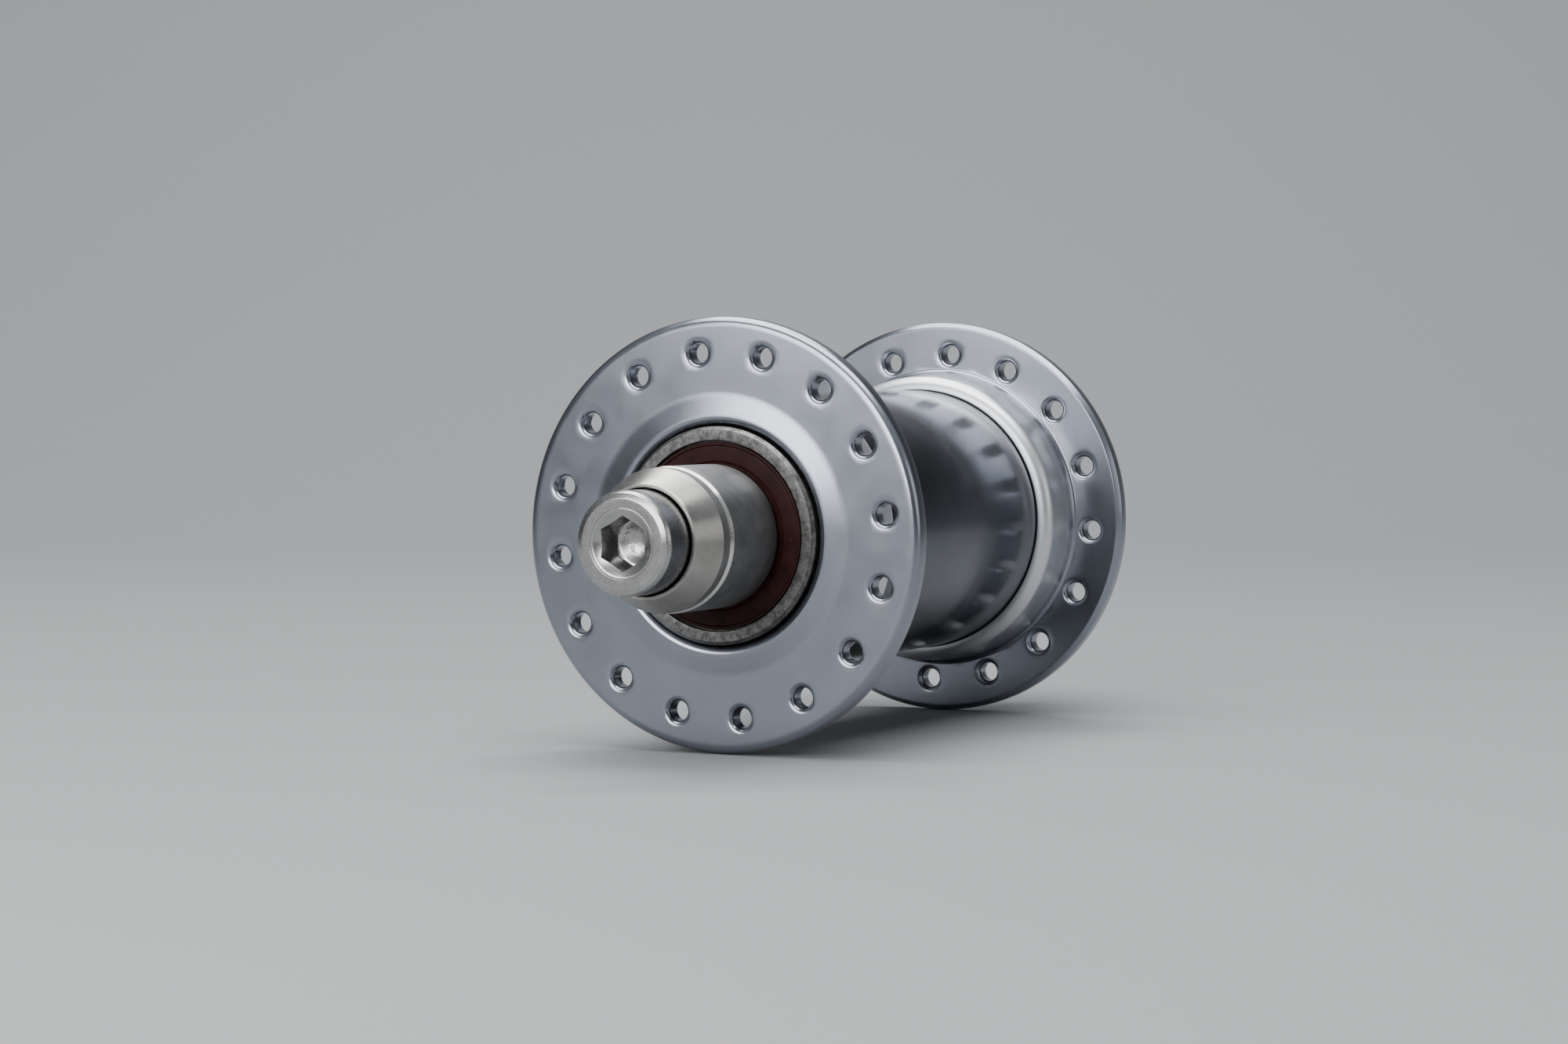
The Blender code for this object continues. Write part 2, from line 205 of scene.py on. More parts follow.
def make_piece(shape, node, side, material, body):
    """Turns a drawn shape into the finished piece that stands for a CAD node."""
    turn = SIDES[side]
    bm = bmesh.new()
    verts = [bm.verts.new((x * MM, -turn * z * MM, turn * y * MM)) for x, y, z in shape.points]
    for face in shape.faces:
        bm.faces.new([verts[index] for index in face])
    bmesh.ops.remove_doubles(bm, verts=bm.verts, dist=WELD_DISTANCE * MM)
    bmesh.ops.recalc_face_normals(bm, faces=bm.faces)
    mesh = bpy.data.meshes.new(f"{node}_fine")
    bm.to_mesh(mesh)
    bm.free()
    mesh.shade_smooth()
    mesh.set_sharp_from_angle(angle=SHARP_ANGLE)
    mesh.materials.append(material)
    piece = bpy.data.objects.new(f"{node}_fine", mesh)
    bpy.context.scene.collection.objects.link(piece)
    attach(piece, body)
    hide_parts(node)
    return piece


def turned_piece(node, side, corners, material, body, steps=TURNED_STEPS):
    """A finished piece from a closed profile of rounded corners."""
    shape = Shape()
    shape.lathe(rounded(corners), steps)
    return make_piece(shape, node, side, material, body)


# ---------------------------------------------------------------- material tools


def add(tree, kind, inputs=None, **settings):
    """Adds a shader node; an input may be a value or another node's output."""
    node = tree.nodes.new(kind)
    for name, value in settings.items():
        setattr(node, name, value)
    for name, value in (inputs or {}).items():
        if isinstance(value, bpy.types.NodeSocket):
            tree.links.new(value, node.inputs[name])
        else:
            node.inputs[name].default_value = value
    return node


def calc(tree, operation, first, second=0.0, third=0.0):
    """One arithmetic step on shader values."""
    return add(tree, "ShaderNodeMath", {0: first, 1: second, 2: third}, operation=operation).outputs[0]


def noise(tree, vector, scale, detail=3.0, roughness=0.5):
    inputs = {"Vector": vector, "Scale": scale, "Detail": detail, "Roughness": roughness}
    return add(tree, "ShaderNodeTexNoise", inputs).outputs["Fac"]


def spread(tree, value, low, high, new_low, new_high):
    """Maps low..high to new_low..new_high, clamped."""
    inputs = {"Value": value, "From Min": low, "From Max": high, "To Min": new_low, "To Max": new_high}
    return add(tree, "ShaderNodeMapRange", inputs).outputs["Result"]


def blend_colour(tree, share, first, second):
    """Colour between two others; each may be a plain colour or another node's output."""
    node = add(tree, "ShaderNodeMix", data_type="RGBA")
    for socket, value in ((node.inputs[0], share), (node.inputs[6], first), (node.inputs[7], second)):
        if isinstance(value, tuple):
            socket.default_value = (*value, 1.0)
        else:
            tree.links.new(value, socket)
    return node.outputs[2]


def place_on_axle(tree):
    """Coordinates of a turned surface: distance from the axle, place along it, and angle round it."""
    coordinates = add(tree, "ShaderNodeTexCoord").outputs["Object"]
    parts = add(tree, "ShaderNodeSeparateXYZ", {"Vector": coordinates}).outputs
    x_squared = calc(tree, "MULTIPLY", parts["X"], parts["X"])
    radius = calc(tree, "SQRT", calc(tree, "MULTIPLY_ADD", parts["Z"], parts["Z"], x_squared))
    angle = calc(tree, "ARCTAN2", parts["Z"], parts["X"])
    return coordinates, radius, parts["Y"], angle


def lathe_marks(tree, radius, along, angle, spacing_mm, wander=0.0004):
    """Fine marks that run round the axle, as a turning tool leaves them."""
    wound = calc(tree, "MULTIPLY", angle, wander)
    vector = add(tree, "ShaderNodeCombineXYZ", {"X": radius, "Y": along, "Z": wound}).outputs["Vector"]
    return noise(tree, vector, 1 / (spacing_mm * MM), detail=2.0)


def new_surface(name, metallic=1.0):
    material = bpy.data.materials.new(name)
    material.use_nodes = True
    shader = material.node_tree.nodes["Principled BSDF"]
    shader.inputs["Metallic"].default_value = metallic
    return material, material.node_tree, shader


def set_bump(tree, shader, height, depth_mm, strength=1.0):
    bump = add(tree, "ShaderNodeBump", {"Height": height, "Distance": depth_mm * MM, "Strength": strength})
    tree.links.new(bump.outputs["Normal"], shader.inputs["Normal"])


def set_turned_sheen(tree, shader, amount):
    """Stretches highlights across the marks that run round the axle."""
    shader.inputs["Anisotropic"].default_value = amount
    shader.inputs["Anisotropic Rotation"].default_value = 0.25
    tangent = add(tree, "ShaderNodeTangent", direction_type="RADIAL", axis="Y")
    tree.links.new(tangent.outputs["Tangent"], shader.inputs["Tangent"])


def feed(tree, shader, colour, roughness):
    tree.links.new(colour, shader.inputs["Base Color"])
    tree.links.new(roughness, shader.inputs["Roughness"])


# ---------------------------------------------------------------- materials


def satin_alloy():
    """Blasted and anodised blue-grey aluminium, with the collar burnished brighter."""
    material, tree, shader = new_surface("satin_alloy")
    place, radius, along, _ = place_on_axle(tree)
    cloud = spread(tree, noise(tree, place, 120, 3.0), 0.3, 0.7, 0, 1)
    tone = blend_colour(tree, cloud, (0.252, 0.275, 0.318), (0.290, 0.313, 0.356))
    fine = spread(tree, noise(tree, place, 4200, 2.0), 0.35, 0.65, 0, 0.16)
    tone = blend_colour(tree, fine, tone, (0.39, 0.41, 0.445))
    across = calc(tree, "ABSOLUTE", along)
    collar = calc(
        tree,
        "MULTIPLY",
        spread(tree, across, 0.0328, 0.0318, 0, 1),
        spread(tree, radius, 0.0182, 0.0184, 0, 1),
    )
    tone = blend_colour(tree, collar, tone, (0.68, 0.695, 0.72))
    rough = spread(tree, noise(tree, place, 250, 2.0), 0.3, 0.7, 0.23, 0.27)
    rough = calc(tree, "MULTIPLY_ADD", collar, 0.13, rough)
    feed(tree, shader, tone, rough)
    grain = noise(tree, place, 5000, 1.0)
    set_bump(tree, shader, grain, 0.002, 0.3)
    return material


def polished_alloy():
    """Mirror polished barrel with faint hairlines round it and finger-dull patches."""
    material, tree, shader = new_surface("polished_alloy")
    place, radius, along, angle = place_on_axle(tree)
    cloud = spread(tree, noise(tree, place, 90, 3.0), 0.3, 0.7, 0, 1)
    tone = blend_colour(tree, cloud, (0.100, 0.110, 0.131), (0.124, 0.134, 0.155))
    hairlines = lathe_marks(tree, radius, along, angle, 0.12, 0.002)
    dull = spread(tree, noise(tree, place, 260, 5.0), 0.45, 0.75, 0.13, 0.21)
    rough = calc(tree, "MULTIPLY_ADD", hairlines, 0.05, dull)
    feed(tree, shader, tone, rough)
    set_bump(tree, shader, hairlines, 0.004, 0.35)
    return material


def ground_spacer():
    """Dark grey ground steel with smudges, its inner end painted darker as shade next to the bearing, and its
    fork-end chamfer cut bright.
    """
    material, tree, shader = new_surface("ground_spacer")
    place, radius, along, angle = place_on_axle(tree)
    marks = lathe_marks(tree, radius, along, angle, 0.10, 0.003)
    smudge = spread(tree, noise(tree, place, 350, 5.0, 0.65), 0.42, 0.68, 0, 1)
    tone = blend_colour(tree, smudge, (0.21, 0.21, 0.213), (0.15, 0.15, 0.151))
    across = calc(tree, "ABSOLUTE", along)
    # Painted shade: the spacer's inner end, next to the bearing and flange, is painted darker.
    painted_shade_near_bearing = spread(tree, across, 0.0405, 0.0375, 0, 0.6)
    tone = blend_colour(tree, painted_shade_near_bearing, tone, (0.07, 0.068, 0.066))
    chamfer = spread(tree, across, 0.04958, 0.04965, 0, 1)
    tone = blend_colour(tree, chamfer, tone, (0.62, 0.61, 0.59))
    rough = spread(tree, marks, 0.3, 0.7, 0.36, 0.46)
    feed(tree, shader, tone, calc(tree, "MULTIPLY_ADD", chamfer, -0.16, rough))
    set_bump(tree, shader, marks, 0.006, 0.5)
    set_turned_sheen(tree, shader, 0.8)
    return material


def turned_stainless():
    """Warm stainless with fine turning marks, small pits and rubbed edges."""
    material, tree, shader = new_surface("turned_stainless")
    place, radius, along, angle = place_on_axle(tree)
    marks = lathe_marks(tree, radius, along, angle, 0.09, 0.0015)
    cloud = spread(tree, noise(tree, place, 260, 4.0), 0.35, 0.65, 0, 1)
    tone = blend_colour(tree, cloud, (0.31, 0.30, 0.285), (0.38, 0.37, 0.355))
    pits = spread(tree, noise(tree, place, 2600, 2.0), 0.70, 0.76, 0, 0.55)
    tone = blend_colour(tree, pits, tone, (0.14, 0.12, 0.10))
    rough = spread(tree, marks, 0.3, 0.7, 0.26, 0.36)
    feed(tree, shader, tone, rough)
    set_bump(tree, shader, calc(tree, "MULTIPLY_ADD", pits, -2.0, marks), 0.005, 0.5)
    set_turned_sheen(tree, shader, 0.5)
    return material


def bolt_stainless():
    """Bright cold-formed stainless: a rubbed head face, a stained socket, and the head's flanks painted
    darker as shade.
    """
    material, tree, shader = new_surface("bolt_stainless")
    place, radius, along, angle = place_on_axle(tree)
    marks = lathe_marks(tree, radius, along, angle, 0.16, 0.006)
    cloud = spread(tree, noise(tree, place, 420, 5.0, 0.6), 0.35, 0.65, 0, 1)
    tone = blend_colour(tree, cloud, (0.34, 0.337, 0.335), (0.42, 0.417, 0.415))
    across = calc(tree, "ABSOLUTE", along)
    in_socket = calc(
        tree,
        "MULTIPLY",
        spread(tree, radius, 0.0027, 0.0024, 0, 1),
        spread(tree, across, 0.0574, 0.0571, 0, 1),
    )
    blots = spread(tree, noise(tree, place, 1500, 3.0, 0.6), 0.54, 0.64, 0, 0.85)
    stain = calc(tree, "MULTIPLY", in_socket, blots)
    tone = blend_colour(tree, stain, tone, (0.16, 0.135, 0.115))
    # Painted shade: the head's outer side is painted darker than its face, for the dark surroundings it
    # reflects.
    painted_shade_flank = calc(
        tree,
        "MULTIPLY",
        spread(tree, radius, 0.00640, 0.00647, 0, 1),
        spread(tree, across, 0.0610, 0.0606, 0, 1),
    )
    tone = blend_colour(tree, painted_shade_flank, tone, (0.22, 0.218, 0.216))
    rough = calc(tree, "MULTIPLY_ADD", stain, 0.2, spread(tree, marks, 0.3, 0.7, 0.20, 0.30))
    feed(tree, shader, tone, rough)
    set_bump(tree, shader, calc(tree, "MULTIPLY_ADD", stain, -1.5, marks), 0.008, 0.5)
    return material


def bearing_steel():
    """Hardened ring steel: a grey face mottled with short scratches across it."""
    material, tree, shader = new_surface("bearing_steel")
    place, radius, along, angle = place_on_axle(tree)
    short_radius = calc(tree, "MULTIPLY", radius, 0.35)
    wound = calc(tree, "MULTIPLY", angle, 0.013)
    vector = add(tree, "ShaderNodeCombineXYZ", {"X": short_radius, "Y": along, "Z": wound}).outputs["Vector"]
    scratches = noise(tree, vector, 3800, 4.0, 0.7)
    blots = spread(tree, noise(tree, place, 1100, 4.0, 0.65), 0.40, 0.62, 0, 1)
    tone = blend_colour(tree, blots, (0.17, 0.167, 0.165), (0.085, 0.083, 0.08))
    tone = blend_colour(tree, spread(tree, scratches, 0.55, 0.72, 0, 0.8), tone, (0.34, 0.335, 0.33))
    feed(tree, shader, tone, spread(tree, scratches, 0.3, 0.7, 0.50, 0.34))
    set_bump(tree, shader, scratches, 0.02, 0.6)
    return material


def ball_steel():
    """Mirror bright balls under a thin, uneven film of grease."""
    material, tree, shader = new_surface("ball_steel")
    place = place_on_axle(tree)[0]
    film = spread(tree, noise(tree, place, 600, 3.0), 0.35, 0.7, 0, 1)
    tone = blend_colour(tree, film, (0.72, 0.72, 0.73), (0.66, 0.64, 0.60))
    feed(tree, shader, tone, spread(tree, film, 0, 1, 0.05, 0.14))
    return material


def dark_steel():
    """Oiled dark steel of the axle and the tube between the bearings."""
    material, tree, shader = new_surface("dark_steel")
    place, radius, along, angle = place_on_axle(tree)
    marks = lathe_marks(tree, radius, along, angle, 0.14, 0.002)
    film = spread(tree, noise(tree, place, 300, 4.0), 0.35, 0.65, 0, 1)
    tone = blend_colour(tree, film, (0.21, 0.21, 0.21), (0.29, 0.28, 0.27))
    feed(tree, shader, tone, spread(tree, marks, 0.3, 0.7, 0.28, 0.42))
    set_bump(tree, shader, marks, 0.006, 0.5)
    set_turned_sheen(tree, shader, 0.4)
    return material


def seal_rubber():
    """Dark red-brown moulded rubber with a faint grain, a dull bloom and a few scuffs."""
    material, tree, shader = new_surface("seal_rubber", metallic=0.0)
    place = place_on_axle(tree)[0]
    cloud = spread(tree, noise(tree, place, 350, 4.0), 0.35, 0.65, 0, 1)
    tone = blend_colour(tree, cloud, (0.016, 0.004, 0.0035), (0.026, 0.008, 0.007))
    scuffs = spread(tree, noise(tree, place, 1300, 3.0), 0.66, 0.76, 0, 0.35)
    tone = blend_colour(tree, scuffs, tone, (0.10, 0.07, 0.065))
    feed(tree, shader, tone, spread(tree, noise(tree, place, 700, 3.0), 0.3, 0.7, 0.42, 0.56))
    set_bump(tree, shader, noise(tree, place, 7000, 3.0), 0.012, 0.5)
    shader.inputs["Specular IOR Level"].default_value = 0.12
    return material


def cage_nylon():
    """Cream moulded nylon, slightly translucent."""
    material, tree, shader = new_surface("cage_nylon", metallic=0.0)
    place = place_on_axle(tree)[0]
    cloud = spread(tree, noise(tree, place, 300, 3.0), 0.35, 0.65, 0, 1)
    tone = blend_colour(tree, cloud, (0.60, 0.55, 0.43), (0.68, 0.63, 0.51))
    feed(tree, shader, tone, spread(tree, cloud, 0, 1, 0.42, 0.55))
    set_bump(tree, shader, noise(tree, place, 5000, 2.0), 0.010, 0.4)
    shader.inputs["Subsurface Weight"].default_value = 0.1
    shader.inputs["Subsurface Radius"].default_value = (0.001, 0.001, 0.0008)
    return material


# ---------------------------------------------------------------- shell


def flange_profiles():
    """The turned stretches of a flange: from its back face round the bore to its front face, and its rim."""
    flange_radius, collar_end, boss_face = reach("left_flange")
    face = boss_face - CAD_BOSS_HEIGHT
    back = face - PLATE_THICKNESS
    boss_top = boss_face - BOSS_DROP
    ring_radius, ring_back, _ = reach("left_bearing_outer_ring")
    bore = ring_radius + BORE_GAP
    pocket_floor = ring_back - POCKET_FLOOR_GAP
    barrel_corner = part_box("hub_barrel")[1]
    lip_bore = barrel_corner.x / MM + BARREL_FIT_GAP
    lip_floor = barrel_corner.y / MM + BARREL_END_GAP
    fillet_foot = back - COLLAR_FILLET_HEIGHT
    fillet = []
    for step in range(FILLET_STEPS):
        turn = math.radians(90 - 90 * step / FILLET_STEPS)
        radius = BACK_HOLES_FROM - (BACK_HOLES_FROM - COLLAR_RADIUS) * math.cos(turn)
        fillet.append(Vector((radius, fillet_foot + COLLAR_FILLET_HEIGHT * math.sin(turn))))
    inside = rounded(
        [
            (COLLAR_RADIUS, fillet_foot, 0),
            (SHOULDER_RADIUS, collar_end, 1.75),
            (lip_bore, collar_end, 0.15),
            (lip_bore, lip_floor, 0),
            (SPIGOT_RADIUS, lip_floor, 0),
            (SPIGOT_RADIUS, SPIGOT_END, 0.2),
            (SPIGOT_BORE, SPIGOT_END, 0.2),
            (SPIGOT_BORE, pocket_floor, 0.2),
            (bore, pocket_floor, 0),
            (bore, boss_top, 1.1),
            (BOSS_CREST_RADIUS, boss_top, 3.0),
            (BOSS_FOOT_RADIUS, face, 6.0),
            (FRONT_HOLES_FROM, face, 0),
        ],
        closed=False,
    )
    rim = rounded(
        [
            (FRONT_HOLES_TO, face, 0),
            (flange_radius, face, 1.1),
            (flange_radius, back + RIM_CHAMFER, 0.25),
            (flange_radius - RIM_CHAMFER, back, 0.25),
            (BACK_HOLES_TO, back, 0),
        ],
        closed=False,
    )
    return fillet + inside, rim, face, back


def sector_corners(inner, outer):
    """The four (radius, angle) corners of one spoke hole's share of the flange face."""
    half = PITCH_ANGLE / 2
    return [(outer, -half), (outer, half), (inner, half), (inner, -half)]


def sector_edge(centre_angle, inner, outer, height):
    """Points round the edge of one spoke hole's share of the flange face."""
    corners = sector_corners(inner, outer)
    points = []
    for index, count in enumerate(SECTOR_COUNTS):
        radius_a, angle_a = corners[index]
        radius_b, angle_b = corners[(index + 1) % len(corners)]
        for step in range(count):
            share = step / count
            radius = radius_a + (radius_b - radius_a) * share
            angle = centre_angle + angle_a + (angle_b - angle_a) * share
            points.append((radius * math.cos(angle), radius * math.sin(angle), height))
    return points


def hole_turns(inner, outer):
    """Angles round a spoke hole that face the points of its sector's edge, corner to corner."""
    facing = []
    for radius, angle in sector_corners(inner, outer):
        away = math.atan2(radius * math.sin(angle), radius * math.cos(angle) - SPOKE_CIRCLE)
        facing.append(away + (2 * math.pi if facing and away < facing[-1] else 0))
    facing.append(facing[0] + 2 * math.pi)
    turns = []
    for index, count in enumerate(SECTOR_COUNTS):
        for step in range(count):
            turns.append(facing[index] + (facing[index + 1] - facing[index]) * step / count)
    return turns


def draw_spoke_hole(shape, centre_angle, front, back):
    """One sector of the flange: its two flat faces and the hole through them, with softly rounded rims.

    front and back are each the (inner radius, outer radius, height) of a flat face.
    """
    centre = Vector((SPOKE_CIRCLE * math.cos(centre_angle), SPOKE_CIRCLE * math.sin(centre_angle)))
    turns = hole_turns(front[0], front[1])

    def hole_ring(radius, height):
        ring = []
        for turn in turns:
            away = Vector((math.cos(centre_angle + turn), math.sin(centre_angle + turn))) * radius
            ring.append((centre.x + away.x, centre.y + away.y, height))
        return ring

    def face_rings(face):
        inner, outer, height = face
        edge = sector_edge(centre_angle, inner, outer, height)
        rim = hole_ring(HOLE_RADIUS + HOLE_FLARE, height)
        rings = [edge]
        for share in FACE_RING_SHARES:
            ring = [tuple(a + (b - a) * share for a, b in zip(low, high)) for low, high in zip(rim, edge)]
            rings.append(ring)
        return rings

    wall = []
    for step in range(1, FLARE_STEPS + 1):
        turn = math.radians(90 * step / FLARE_STEPS)
        radius = HOLE_RADIUS + HOLE_FLARE * (1 - math.sin(turn))
        drop = HOLE_FLARE * (1 - math.cos(turn))
        wall.append((radius, drop))
    rings = face_rings(front)
    rings += [hole_ring(radius, front[2] - drop) for radius, drop in wall]
    rings += [hole_ring(radius, back[2] + drop) for radius, drop in reversed(wall)]
    rings += list(reversed(face_rings(back)))
    shape.skin(rings)


def make_flange(side, materials):
    """A flange, with the right end's spoke holes half a pitch round from the left end's."""
    inside, rim, face, back = flange_profiles()
    phase = HOLE_PHASE if side == "left" else HOLE_PHASE - PITCH_ANGLE / 2
    first_hole = phase * SIDES[side]
    shape = Shape()

    def turned_ring(point):
        ring = []
        for step in range(FLANGE_STEPS):
            angle = first_hole + PITCH_ANGLE / 2 + 2 * math.pi * step / FLANGE_STEPS
            ring.append((point[0] * math.cos(angle), point[0] * math.sin(angle), point[1]))
        return ring

    shape.skin([turned_ring(point) for point in inside])
    shape.skin([turned_ring(point) for point in rim])
    front_face = (inside[-1][0], rim[0][0], face)
    back_face = (inside[0][0], rim[-1][0], back)
    for index in range(SPOKE_HOLES):
        draw_spoke_hole(shape, first_hole + PITCH_ANGLE * index, front_face, back_face)
    make_piece(shape, f"{side}_flange", side, materials["satin_alloy"], "shell")


def make_barrel(materials):
    far_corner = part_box("hub_barrel")[1]
    radius = far_corner.x / MM
    end = far_corner.y / MM
    bore = radius - BARREL_WALL
    corners = [(bore, end, 0.2), (radius, end, 0.3), (radius, -end, 0.3), (bore, -end, 0.2)]
    alloy = materials["polished_alloy"]
    turned_piece("hub_barrel", "left", corners, alloy, "shell", FLANGE_STEPS)


# ---------------------------------------------------------------- bearings

BALLS = 8
BALL_RADIUS = 4.762 / 2
BALL_CIRCLE = 10.0
BALL_STEPS = 32
BALL_BANDS = 16
RACE_RADIUS = 2.48
RACE_STEPS = 12
OUTER_LAND = 11.8
SEAL_SEAT_DEPTH = 1.0
INNER_LAND = 8.3
INNER_RING_BORE = 6.05
SEAL_BORE = 8.6
SEAL_DISH = 0.25
SEAL_LIP = 0.12
CAGE_BORE = 9.0
CAGE_STEPS = 128
POCKET_RADIUS = 2.5
POCKET_STEPS = 40
POCKET_CUT_LENGTH = 8


def race(land, middle, outward):
    """The ball groove between two points on a ring's land, as profile corners."""
    half = math.acos(abs(land - BALL_CIRCLE) / RACE_RADIUS)
    way = RACE_RADIUS if outward else -RACE_RADIUS
    corners = []
    for step in range(RACE_STEPS + 1):
        turn = half * (2 * step / RACE_STEPS - 1)
        corners.append((BALL_CIRCLE + way * math.cos(turn), middle + way * math.sin(turn), 0))
    return corners


def make_bearing_rings(side, materials):
    radius, back, face = reach("left_bearing_outer_ring")
    middle = (face + back) / 2
    outer = [
        (12.2, face, 0.1),
        (radius - 0.42, face, 0.1),
        (radius, face - 0.5, 0.15),
        (radius, back, 0.35),
        (12.15, back, 0.12),
        (12.15, back + SEAL_SEAT_DEPTH, 0),
        (OUTER_LAND, back + SEAL_SEAT_DEPTH, 0.08),
        *race(OUTER_LAND, middle, outward=True),
        (OUTER_LAND, face - SEAL_SEAT_DEPTH, 0.08),
        (12.2, face - SEAL_SEAT_DEPTH, 0),
    ]
    steel = materials["bearing_steel"]
    turned_piece(f"{side}_bearing_outer_ring", side, outer, steel, "shell")
    inner = [
        (INNER_RING_BORE, face, 0.3),
        (INNER_LAND, face, 0.1),
        *race(INNER_LAND, middle, outward=False),
        (INNER_LAND, back, 0.1),
        (INNER_RING_BORE, back, 0.3),
    ]
    turned_piece(f"{side}_bearing_inner_ring", side, inner, steel, "axle")


def make_seals(side, materials):
    """Each seal has a raised lip round its outer edge and a shallow step down to the inner ring."""
    for which in ("outer", "inner"):
        node = f"{side}_bearing_{which}_seal"
        radius, low, high = reach(f"left_bearing_{which}_seal")
        outside, inside = (high, low) if which == "outer" else (low, high)
        inward = -1 if which == "outer" else 1
        corners = [
            (SEAL_BORE, outside + SEAL_DISH * inward, 0.1),
            (9.35, outside + SEAL_DISH * inward, 0.1),
            (9.6, outside + SEAL_LIP * inward, 0.1),
            (11.35, outside + SEAL_LIP * inward, 0.08),
            (11.5, outside + 0.16 * inward, 0.05),
            (11.62, outside, 0.1),
            (radius, outside, 0.1),
            (radius, inside, 0.05),
            (SEAL_BORE, inside, 0.05),
        ]
        turned_piece(node, side, corners, materials["seal_rubber"], "shell")


def make_balls(side, materials):
    _, back, face = reach("left_bearing_outer_ring")
    for index in range(BALLS):
        angle = 2 * math.pi * index / BALLS
        centre = (BALL_CIRCLE * math.cos(angle), BALL_CIRCLE * math.sin(angle), (face + back) / 2)
        shape = Shape()
        rings = []
        for step in range(BALL_BANDS + 1):
            tilt = math.pi * step / BALL_BANDS
            ring = circle(BALL_RADIUS * math.sin(tilt), BALL_RADIUS * math.cos(tilt), BALL_STEPS)
            if step in (0, BALL_BANDS):
                ring = ring[:1]
            rings.append([tuple(a + b for a, b in zip(point, centre)) for point in ring])
        shape.skin(rings)
        node = f"{side}_bearing_ball_{index + 1}"
        make_piece(shape, node, side, materials["ball_steel"], f"{side}_cage")


def make_cage(side, materials):
    """A window cage: a ring with a round pocket for each ball."""
    node = f"{side}_bearing_cage"
    radius, low, high = reach("left_bearing_cage")
    corners = [(CAGE_BORE, high, 0.15), (radius, high, 0.15), (radius, low, 0.15), (CAGE_BORE, low, 0.15)]
    nylon = materials["cage_nylon"]
    cage = turned_piece(node, side, corners, nylon, f"{side}_cage", CAGE_STEPS)
    cutter_shape = bmesh.new()
    for index in range(BALLS):
        angle = 2 * math.pi * index / BALLS
        made = bmesh.ops.create_cone(
            cutter_shape,
            cap_ends=True,
            segments=POCKET_STEPS,
            radius1=POCKET_RADIUS * MM,
            radius2=POCKET_RADIUS * MM,
            depth=POCKET_CUT_LENGTH * MM,
        )
        along = Vector((math.cos(angle), 0, math.sin(angle)))
        turn = Vector((0, 0, 1)).rotation_difference(along).to_matrix()
        bmesh.ops.rotate(cutter_shape, verts=made["verts"], matrix=turn)
        middle = -SIDES[side] * (low + high) / 2 * MM
        centre = along * BALL_CIRCLE * MM + Vector((0, middle, 0))
        bmesh.ops.translate(cutter_shape, verts=made["verts"], vec=centre)
    mesh = bpy.data.meshes.new("cage_cutter")
    cutter_shape.to_mesh(mesh)
    cutter_shape.free()
    cutter = bpy.data.objects.new("cage_cutter", mesh)
    bpy.context.scene.collection.objects.link(cutter)
    boolean = cage.modifiers.new("pockets", "BOOLEAN")
    boolean.operation = "DIFFERENCE"
    boolean.solver = "EXACT"
    boolean.object = cutter
    bpy.context.view_layer.update()
    result = bpy.data.meshes.new_from_object(cage.evaluated_get(bpy.context.evaluated_depsgraph_get()))
    cage.modifiers.clear()
    cage.data = result
    result.shade_smooth()
    result.set_sharp_from_angle(angle=SHARP_ANGLE)
    bpy.data.objects.remove(cutter)


# ---------------------------------------------------------------- axle and its ends

AXLE_BORE = 4.15
AXLE_CORE = 3.4
AXLE_BORE_END = 26.0
AXLE_CORE_END = 25.6
SPACER_TUBE_BORE = 6.2
END_SPACER_BORE = 6.05
END_SPACER_CHAMFER = 0.38
END_SPACER_FOOT_RADIUS = 8.0
END_SPACER_RELIEF = 0.25
WASHER_HOLE = 4.3
WASHER_BORE = 6.72
WASHER_BORE_DEPTH = 2.65
WASHER_BAND = 1.8

# Bolt details that the frame's boxes don't give.
HEAD_LENGTH = 8.0
HEX_ACROSS_FLATS = 6.0
HEX_DEPTH = 4.6
HEX_FLOOR_ROUNDING = 0.06
DRILL_RADIUS = 2.8
DRILL_DEPTH = 1.0
DRILL_SHARES = (0.12, 0.3, 0.5, 0.75, 0.95)
DRILL_CURVE = 2.2
COUNTERSINK_RADIUS = 3.95
COUNTERSINK_SLOPE = 0.55
THREAD_RADIUS = 4.0
THREAD_PITCH = 1.25
THREAD_DEPTH = 0.72
THREAD_RINGS_PER_TURN = 10
THREAD_FLAT = 0.15
THREAD_STEEPNESS = 1.3


def make_axle(materials):
    """The drilled axle, and the tube round it that holds the inner rings apart."""
    steel = materials["dark_steel"]
    far_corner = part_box("axle")[1]
    radius = far_corner.x / MM
    end = far_corner.y / MM
    corners = [
        (AXLE_BORE, end, 0.3),
        (radius, end, 0.4),
        (radius, -end, 0.4),
        (AXLE_BORE, -end, 0.3),
        (AXLE_BORE, -AXLE_BORE_END, 0),
        (AXLE_CORE, -AXLE_CORE_END, 0),
        (AXLE_CORE, AXLE_CORE_END, 0),
        (AXLE_BORE, AXLE_BORE_END, 0),
    ]
    turned_piece("axle", "left", corners, steel, "axle")
    far_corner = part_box("bearing_spacer_tube")[1]
    radius = far_corner.x / MM
    end = far_corner.y / MM
    corners = [
        (SPACER_TUBE_BORE, end, 0.15),
        (radius, end, 0.2),
        (radius, -end, 0.2),
        (SPACER_TUBE_BORE, -end, 0.15),
    ]
    turned_piece("bearing_spacer_tube", "left", corners, steel, "axle")


